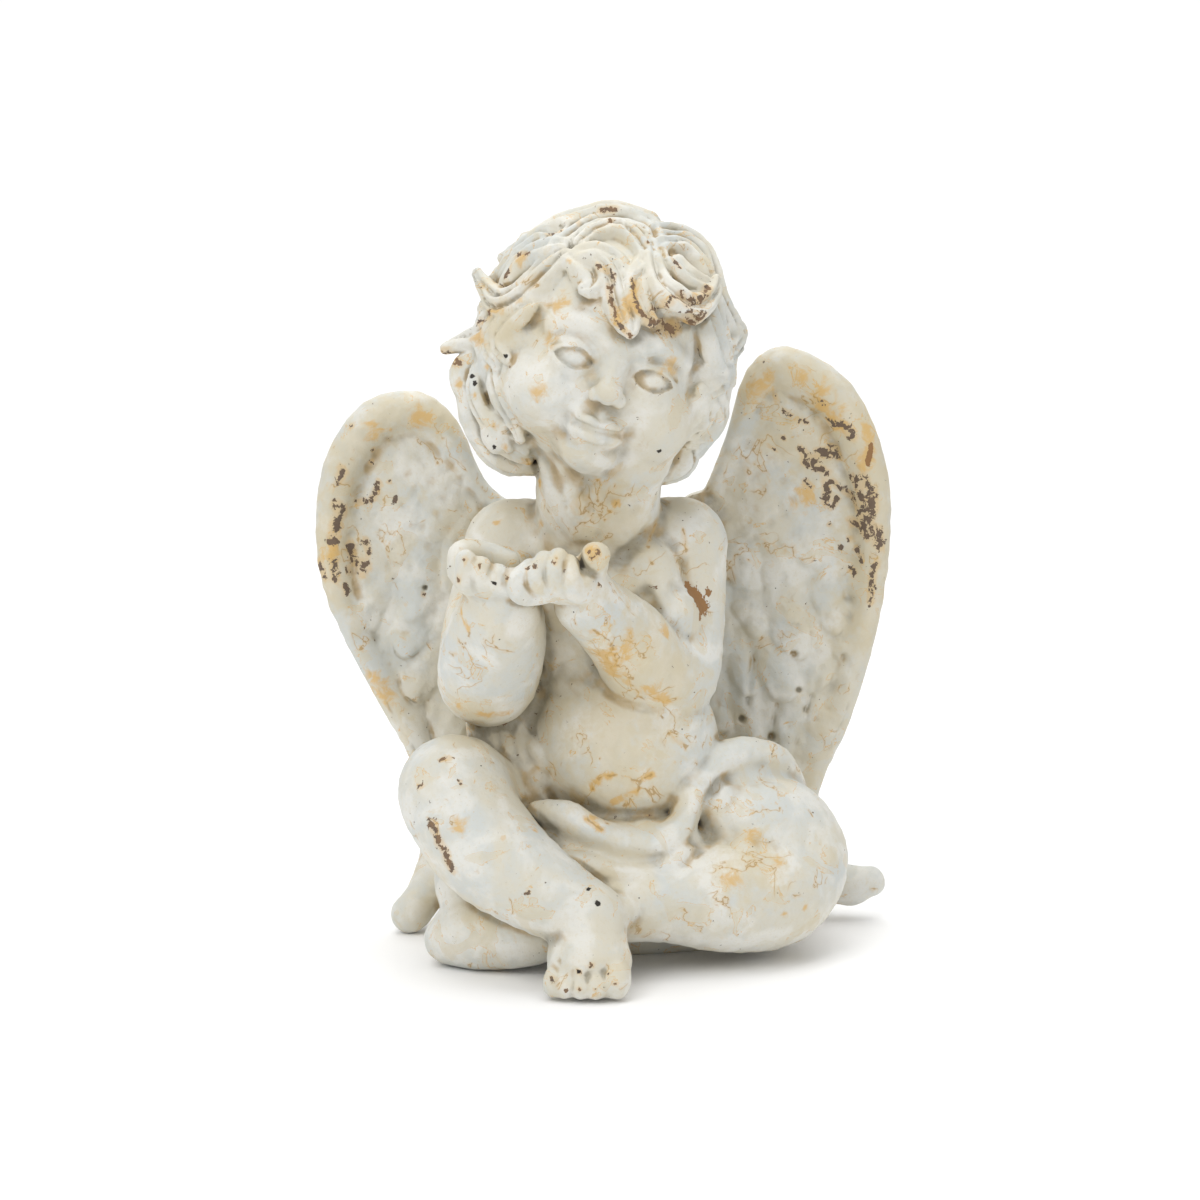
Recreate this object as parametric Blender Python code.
"""A seated winged cherub figurine, cast in one piece, 280 mm tall.

The figure is blocked out the way a modeller builds in clay: every limb is a chain of balls with a skin
pulled over each neighbouring pair, every soft mass is a stretched ball, and each wing is a fan of panels
from the back out to its rim. The lumps are fused into one skin, eased, thinned out to a light mesh and cut
off flat where the cast stands. The figure faces -Y, and +X is its left side.
"""

import math

import bmesh
import bpy
from mathutils import Euler, Matrix, Vector

MM = 0.001

# Driving dimensions, in millimetres. A station is (x, y, z, radius): a point inside a limb and its girth.
SKIN_VOXEL = 1.7
SKIN_EASE_STEPS = 5
SKIN_KEPT_SHARE = 0.044
GLAZE_COLOUR = (0.80, 0.78, 0.70, 1.0)
GLAZE_ROUGHNESS = 0.62

# Trunk: stretched balls as (centre, half sizes).
PELVIS = ((8, 8, 36), (50, 38, 38))
SEAT = ((6, 10, 12), (66, 36, 22))
BELLY = ((9, -8, 78), (35.5, 31, 35))
CHEST = ((-2, 4, 122), (38, 29, 32))
BACK = ((0, 24, 112), (32, 22, 48))
CHEEK_OF_REAR = ((9, 26, 26), (50, 26, 28))
LAP = ((6, -20, 38), (44, 28, 17))
UNDER_KNEE_WEB = ((-40, -26, 32), (24, 22, 28))
ARMPIT_WEB = ((-31, 6, 104), (13, 15, 34))

NECK = [(-3, 6, 150, 23), (-1, 0, 172, 20), (-1, 0, 192, 25)]
JOWL = ((6, -16, 186), (20, 19, 15))
SHOULDER_YOKE = [(-33, 9, 152, 17), (-3, 9, 150, 22), (29, 9, 152, 18)]

# Right arm (at -X) and left arm (at +X), from shoulder to wrist.
RIGHT_ARM = [(-34, 8, 151, 17), (-42, -17, 107.5, 18.5), (-38.5, -34, 122, 19), (-36, -47, 134, 15.5), (-36, -54, 141, 12)]
LEFT_ARM = [(30.5, 8, 152, 17), (31.5, 2, 127, 14.5), (26.5, -7, 106, 17), (8, -33, 121, 13.5), (-5, -51, 137, 11)]

# Cupped hands: palms, the rim of fingers round the front and the two thumbs.
RIGHT_PALM = ((-37, -55, 144), (17, 13, 9))
LEFT_PALM = ((-15, -56, 143), (16, 12, 9))
FINGER_RADIUS = 4.3
FINGER_ROOT_HEIGHT = 142
RIM_HEIGHTS = (152, 151.5, 149.5, 148, 149, 152, 152.5)
RIM_FROM, RIM_TO = -52, -12
RIM_FRONT = -68
RIGHT_THUMB = [(-50, -52, 151, 4.6), (-49, -47, 157.5, 4.4), (-34, -45, 156, 4.4)]
LEFT_THUMB = [(-5, -53, 147, 6.5), (-2, -63, 155, 5)]
PALM_HOLLOW = ((-31, -56, 157), (19, 9, 13))

# Right leg: knee up, foot planted in front. Left leg: laid down, its foot tucked under the right calf.
RIGHT_LEG = [(-22, 12, 42, 30), (-54, -34, 65.5, 20), (-42.5, -48, 49, 20), (-24, -57, 36, 16.5), (-5, -62, 26, 12.5)]
RIGHT_FOOT = [(0, -58, 15, 14), (-3, -70, 12, 13), (-4, -77, 9, 11)]
RIGHT_FOOT_BREADTH = [(-14, -76, 7, 7), (5, -76, 8, 8)]
TOE_SPREAD = (-19.0, 6.0)
TOE_RADII = (4.0, 4.4, 4.7, 5.1, 6.4)
TOE_FRONT = -83.5
LEFT_LEG = [(30, 10, 41, 32), (66, -4, 37, 26), (64, -20, 27, 23), (46, -33, 26, 20.5), (22, -42, 26, 14.5), (-6, -46, 24, 12.5)]
TUCKED_FOOT = [(-6, -46, 24, 12.5), (-28, -41, 17, 15), (-46, -36, 14, 14), (-56, -33, 10, 9.5)]
TUCKED_HEEL = [(-44, -36, 14, 14), (-49, -30, 26, 7.5)]

# Cloth across the lap, up over the left hip and down behind.
LAP_CLOTH = [(-24, -30, 51, 5), (0, -41, 50, 6), (26, -41, 47, 6), (42, -26, 56, 8), (50, -6, 69, 8), (68, 10, 62, 8)]
LAP_UNDERFOLD = [(-22, -42, 40, 6), (2, -47, 38, 6), (24, -46, 38, 5)]
HIP_BUNCH = [(-36, 2, 72, 12), (-32, -8, 84, 9), (-28, -4, 100, 10)]

# Head: centre of the skull and its tilt (nod up, turn and lean to its left, in degrees).
HEAD = (2, -4, 225)
HEAD_TILT = (4, 6, 17)
SKULL = ((0, 3, 3), (41, 42, 43))
FACE = ((0, -9, -12), (36, 34, 33))
CHEEKS = ((18, -19, -20), (18, 18, 16))
CHIN = ((0, -30, -39), (11, 9, 8))
NOSE = [(0, -41, -6, 3.2), (0, -45, -17, 4.4)]
LIPS = ((0, -39, -27), (8, 4, 4))
HAIR_MASS = ((0, 11, 4), (46, 41, 44))
NAPE_MASSES = (((-27, 10, -33), (18, 20, 20)), ((32, 10, -28), (16, 20, 20)))

# Locks lie on the hair's outer surface in the head's own place: points on the surface and half widths.
LOCK_SINK = 0.75
FRONT_LOCKS = (
    [(-27, -28, 31, 8), (-35, -25, 25, 8), (-41, -21, 17, 8), (-45, -19, 6, 7), (-52, -8, 12, 3.5)],
    [(-24, -31, 31, 6), (-16, -36, 31, 6), (-11, -39, 26, 6), (-15, -40, 19, 4)],
    [(-12, -34, 33, 7), (-7, -41, 23, 7), (-3, -45, 14, 6), (3, -46, 6, 3.5)],
    [(1, -36, 32, 6), (2, -43, 20, 5), (9, -44, 14, 5)],
    [(9, -44, 17, 7), (18, -42, 26, 8), (27, -38, 26, 7), (33, -33, 30, 4)],
    [(-24, -31, 31, 6), (-20, -24, 40, 7), (-8, -19, 47, 7), (2, -28, 42, 7), (5, -34, 32, 6)],
    [(-47, -12, 17, 9), (-44, -10, 26, 10), (-38, 0, 36, 11), (-26, -2, 47, 12), (-12, -2, 51, 12)],
    [(-14, -2, 52, 12), (4, -3, 50, 11), (18, -5, 50, 11), (29, -7, 46, 11)],
    [(22, -20, 43, 9), (35, -6, 39, 10), (42, -8, 30, 9), (49.5, -7, 24, 5)],
    [(29, -28, 30, 8), (38, -25, 22, 8), (46, -16, 14, 8), (49, -10, 5, 8), (44, -14, -2, 7)],
    [(44, -8, -2, 8), (50, -4, -8, 8), (50, -2, -20, 8), (44, 2, -30, 8), (43, 3, -41, 4)],
    [(-46, -19, 3, 6), (-51, -4, -2, 7), (-53, 6, -9, 6), (-59, 6, -16, 3)],
    [(-50, 4, -16, 8), (-52, 6, -26, 7), (-44, 6, -33, 7), (-38, 6, -44, 8), (-27, 6, -54, 7), (-12, 6, -54, 7)],
    [(-34, -31, 5, 4), (-43, -22, -1, 5), (-45, -17, -9, 5), (-39, -24, -13, 3.5)],
)

# Nape and sides: rows of locks falling from the crown, each turning up at its end.
FALL_ROWS = (  # (fall from the crown in degrees, locks in the row, first and last bearing, half width)
    (30, 6, 20, 340, 10.5),
    (62, 9, 8, 240, 10.5),
    (92, 9, -6, 190, 10),
    (118, 7, 0, 180, 9.5),
)
FALL_REACH = (49, 44, 47)
FALL_CENTRE = (0, 11, 6)
FALL_LENGTH = 22
FALL_SWAY = 14

# Wings: rim points (x, z, y, rim radius) from the tip on the ground, up the outer edge and over to the
# shoulder. A smooth curve is drawn through them.
RIGHT_WING_RIM = [
    (-85, 2, 28, 4.5), (-76, 20, 34, 5), (-80, 46, 41, 5), (-92, 79, 45, 5), (-107, 121, 49, 5.5), (-112, 148, 51, 6.5),
    (-108.5, 179, 52, 7), (-93, 202, 53, 7.5), (-71, 206.5, 53, 7.5), (-52, 196, 50, 7), (-37, 173, 44, 6),
]
LEFT_WING_RIM = [
    (112.5, 9, 28, 4.5), (88, 25, 36, 5), (86, 49, 41, 5), (98, 76, 45, 5), (109, 113, 48, 5.5), (113, 150, 50, 6.5),
    (110.5, 181, 52, 7), (97, 210, 53, 7.5), (73, 224, 53, 7.5), (53, 215, 51, 7), (37, 176, 44, 6),
]
WING_STEPS_PER_POINT = 2
WING_ROOT_LOW = (26, 30, 6)
WING_ROOT_HIGH = (16, 34, 158)
WING_PANEL_RADIUS = 4.5
WING_DISH = 8.0
WING_DISH_AT = 0.55


def vec(point):
    """A point given in millimetres, in metres."""
    return Vector(point[:3]) * MM


def mix(a, b, share):
    return tuple(p + (q - p) * share for p, q in zip(a, b))


def smooth_through(points, steps):
    """A Catmull-Rom curve through the points, with this many steps from each to the next."""
    padded = [points[0], *points, points[-1]]
    curve = []
    for before, start, end, after in zip(padded, padded[1:], padded[2:], padded[3:]):
        for step in range(steps):
            t = step / steps
            weights = (
                0.5 * t * (t * (2 - t) - 1),
                0.5 * (t * t * (3 * t - 5) + 2),
                0.5 * t * (t * (4 - 3 * t) + 1),
                0.5 * t * t * (t - 1),
            )
            curve.append(tuple(sum(w * v for w, v in zip(weights, row)) for row in zip(before, start, end, after)))
    return [*curve, points[-1]]


def new_lump(clay, shape):
    """Adds the closed shape in one bmesh to the clay and frees it."""
    lump = bpy.data.meshes.new("lump")
    shape.to_mesh(lump)
    shape.free()
    clay.from_mesh(lump)
    bpy.data.meshes.remove(lump)


def add_mass(clay, centre, half_sizes, place=Matrix.Identity(4)):
    """A stretched ball."""
    shape = bmesh.new()
    stretch = Matrix.Diagonal((*(vec(half_sizes)), 1.0))
    bmesh.ops.create_icosphere(
        shape, subdivisions=4, radius=1.0, matrix=place @ Matrix.Translation(vec(centre)) @ stretch
    )
    new_lump(clay, shape)


def add_hull(clay, stations, place=Matrix.Identity(4)):
    """A skin pulled tight over the balls at these stations."""
    shape = bmesh.new()
    for station in stations:
        bmesh.ops.create_icosphere(
            shape, subdivisions=3, radius=station[3] * MM, matrix=place @ Matrix.Translation(vec(station))
        )
    pulled = bmesh.ops.convex_hull(shape, input=shape.verts)
    spare = {item for item in pulled["geom_interior"] + pulled["geom_unused"] if isinstance(item, bmesh.types.BMVert)}
    bmesh.ops.delete(shape, geom=list(spare), context="VERTS")
    new_lump(clay, shape)


def add_limb(clay, stations, place=Matrix.Identity(4)):
    """A chain of balls, with a skin over each neighbouring pair."""
    for pair in zip(stations, stations[1:]):
        add_hull(clay, pair, place)


def add_trunk(clay):
    for centre, half_sizes in (PELVIS, SEAT, BELLY, CHEST, BACK, CHEEK_OF_REAR, LAP, UNDER_KNEE_WEB, ARMPIT_WEB, JOWL):
        add_mass(clay, centre, half_sizes)
    add_limb(clay, SHOULDER_YOKE)
    add_limb(clay, NECK)


def add_arms_and_hands(clay):
    add_limb(clay, RIGHT_ARM)
    add_limb(clay, LEFT_ARM)
    add_mass(clay, *RIGHT_PALM)
    add_mass(clay, *LEFT_PALM)
    for index, height in enumerate(RIM_HEIGHTS):
        x = RIM_FROM + (RIM_TO - RIM_FROM) * index / (len(RIM_HEIGHTS) - 1)
        root = (x * 0.9 - 2, RIM_FRONT + 6, FINGER_ROOT_HEIGHT, FINGER_RADIUS)
        tip = (x, RIM_FRONT + 2, height, FINGER_RADIUS)
        add_hull(clay, (root, tip))
    add_limb(clay, RIGHT_THUMB)
    add_limb(clay, LEFT_THUMB)


def add_legs_and_feet(clay):
    for limb in (RIGHT_LEG, RIGHT_FOOT, LEFT_LEG, TUCKED_FOOT, TUCKED_HEEL):
        add_limb(clay, limb)
    add_hull(clay, [*RIGHT_FOOT_BREADTH, RIGHT_FOOT[0], RIGHT_LEG[-1]])
    for index, radius in enumerate(TOE_RADII):
        x = TOE_SPREAD[0] + (TOE_SPREAD[1] - TOE_SPREAD[0]) * index / (len(TOE_RADII) - 1)
        add_hull(clay, [(x, TOE_FRONT + radius, radius, radius), (x * 0.8, -74, 8, radius + 1)])


def add_cloth(clay):
    for fold in (LAP_CLOTH, LAP_UNDERFOLD, HIP_BUNCH):
        add_limb(clay, fold)


def head_place():
    nod, turn, lean = (math.radians(angle) for angle in HEAD_TILT)
    tilt = Euler((-nod, lean, turn), "XYZ").to_matrix().to_4x4()
    return Matrix.Translation(vec(HEAD)) @ tilt


def add_head(clay):
    place = head_place()
    for centre, half_sizes in (SKULL, FACE, CHIN, LIPS, HAIR_MASS, *NAPE_MASSES):
        add_mass(clay, centre, half_sizes, place)
    for side in (-1, 1):
        (x, y, z), half_sizes = CHEEKS
        add_mass(clay, (side * x, y, z), half_sizes, place)
    add_limb(clay, NOSE, place)


def add_lock(clay, stations, place):
    """A lock whose outer face runs through the stations: each ball sits inward by part of its radius."""
    sunk = []
    for x, y, z, radius in stations:
        inward = Vector((x, y, z)).normalized() * radius * LOCK_SINK
        sunk.append((x - inward.x, y - inward.y, z - inward.z, radius))
    add_limb(clay, sunk, place)


def on_crown(bearing, fall):
    """A point on the hair, by bearing (0 = left ear, 90 = nape) and fall from the crown, in degrees."""
    around, down = math.radians(bearing), math.radians(fall)
    across = math.sin(down)
    return (
        FALL_CENTRE[0] + FALL_REACH[0] * across * math.cos(around),
        FALL_CENTRE[1] + FALL_REACH[1] * across * math.sin(around),
        FALL_CENTRE[2] + FALL_REACH[2] * math.cos(down),
    )


def add_hair(clay):
    place = head_place()
    for lock in FRONT_LOCKS:
        add_lock(clay, lock, place)
    for row, (fall, count, first, last, width) in enumerate(FALL_ROWS):
        for index in range(count):
            bearing = first + (last - first) * (index + 0.5 * (row % 2)) / count
            sway = FALL_SWAY if (index + row) % 2 else -FALL_SWAY
            stations = (
                (*on_crown(bearing, fall), width),
                (*on_crown(bearing + sway, fall + FALL_LENGTH * 0.6), width * 0.85),
                (*on_crown(bearing + sway * 0.2, fall + FALL_LENGTH), width * 0.5),
            )
            add_lock(clay, stations, place)


def add_wing(clay, rim_points, side):
    """Panels from the back to the rim, dished so that the front is hollow."""
    rim = smooth_through(rim_points, WING_STEPS_PER_POINT)
    last = len(rim) - 1
    ribs = []
    for index, (x, z, y, radius) in enumerate(rim):
        ahead, behind = rim[min(index + 1, last)], rim[max(index - 1, 0)]
        run = Vector((ahead[0] - behind[0], ahead[1] - behind[1])).normalized()
        inward = Vector((-run.y, run.x)) * radius * side
        edge = (x + inward.x, y, max(z + inward.y, radius - 1), radius)
        root = mix(WING_ROOT_LOW, WING_ROOT_HIGH, index / last)
        root = (side * root[0], root[1], root[2], WING_PANEL_RADIUS)
        middle = mix(root, edge, WING_DISH_AT)
        middle = (middle[0], middle[1] + WING_DISH, middle[2], WING_PANEL_RADIUS)
        ribs.append((root, middle, edge))
    for low, high in zip(ribs, ribs[1:]):
        add_hull(clay, (*low[:2], *high[:2]))
        add_hull(clay, (*low[1:], *high[1:]))


def cutter(name, shape_maker):
    """A helper solid that shapes the figurine and isn't part of it."""
    mesh = bpy.data.meshes.new(name)
    shape = bmesh.new()
    shape_maker(shape)
    shape.to_mesh(mesh)
    shape.free()
    helper = bpy.data.objects.new(name, mesh)
    helper.hide_render = True
    helper.display_type = "WIRE"
    bpy.context.scene.collection.objects.link(helper)
    return helper


def ground_block(shape):
    size = 0.5
    bmesh.ops.create_cube(shape, size=size, matrix=Matrix.Translation((0, 0, -size / 2)))


def palm_hollow(shape):
    centre, half_sizes = PALM_HOLLOW
    stretch = Matrix.Diagonal((*(vec(half_sizes)), 1.0))
    bmesh.ops.create_icosphere(shape, subdivisions=3, radius=1.0, matrix=Matrix.Translation(vec(centre)) @ stretch)


def glaze():
    material = bpy.data.materials.new("aged_white_glaze")
    material.use_nodes = True
    shader = material.node_tree.nodes["Principled BSDF"]
    shader.inputs["Base Color"].default_value = GLAZE_COLOUR
    shader.inputs["Roughness"].default_value = GLAZE_ROUGHNESS
    shader.inputs["Metallic"].default_value = 0.0
    return material


def main():
    for thing in list(bpy.data.objects):
        bpy.data.objects.remove(thing)
    clay = bmesh.new()
    add_trunk(clay)
    add_arms_and_hands(clay)
    add_legs_and_feet(clay)
    add_cloth(clay)
    add_head(clay)
    add_hair(clay)
    add_wing(clay, RIGHT_WING_RIM, -1)
    add_wing(clay, LEFT_WING_RIM, 1)

    mesh = bpy.data.meshes.new("cherub_figurine")
    clay.to_mesh(mesh)
    clay.free()
    figurine = bpy.data.objects.new("cherub_figurine", mesh)
    bpy.context.scene.collection.objects.link(figurine)
    figurine.data.materials.append(glaze())

    fuse = figurine.modifiers.new("fuse", "REMESH")
    fuse.mode = "VOXEL"
    fuse.voxel_size = SKIN_VOXEL * MM
    ease = figurine.modifiers.new("ease", "SMOOTH")
    ease.factor = 0.5
    ease.iterations = SKIN_EASE_STEPS
    thin = figurine.modifiers.new("thin", "DECIMATE")
    thin.ratio = SKIN_KEPT_SHARE
    for name, shape_maker in (("hollow_palms", palm_hollow), ("flat_base", ground_block)):
        cut = figurine.modifiers.new(name, "BOOLEAN")
        cut.operation = "DIFFERENCE"
        cut.solver = "EXACT"
        cut.object = cutter(name + "_cutter", shape_maker)


main()
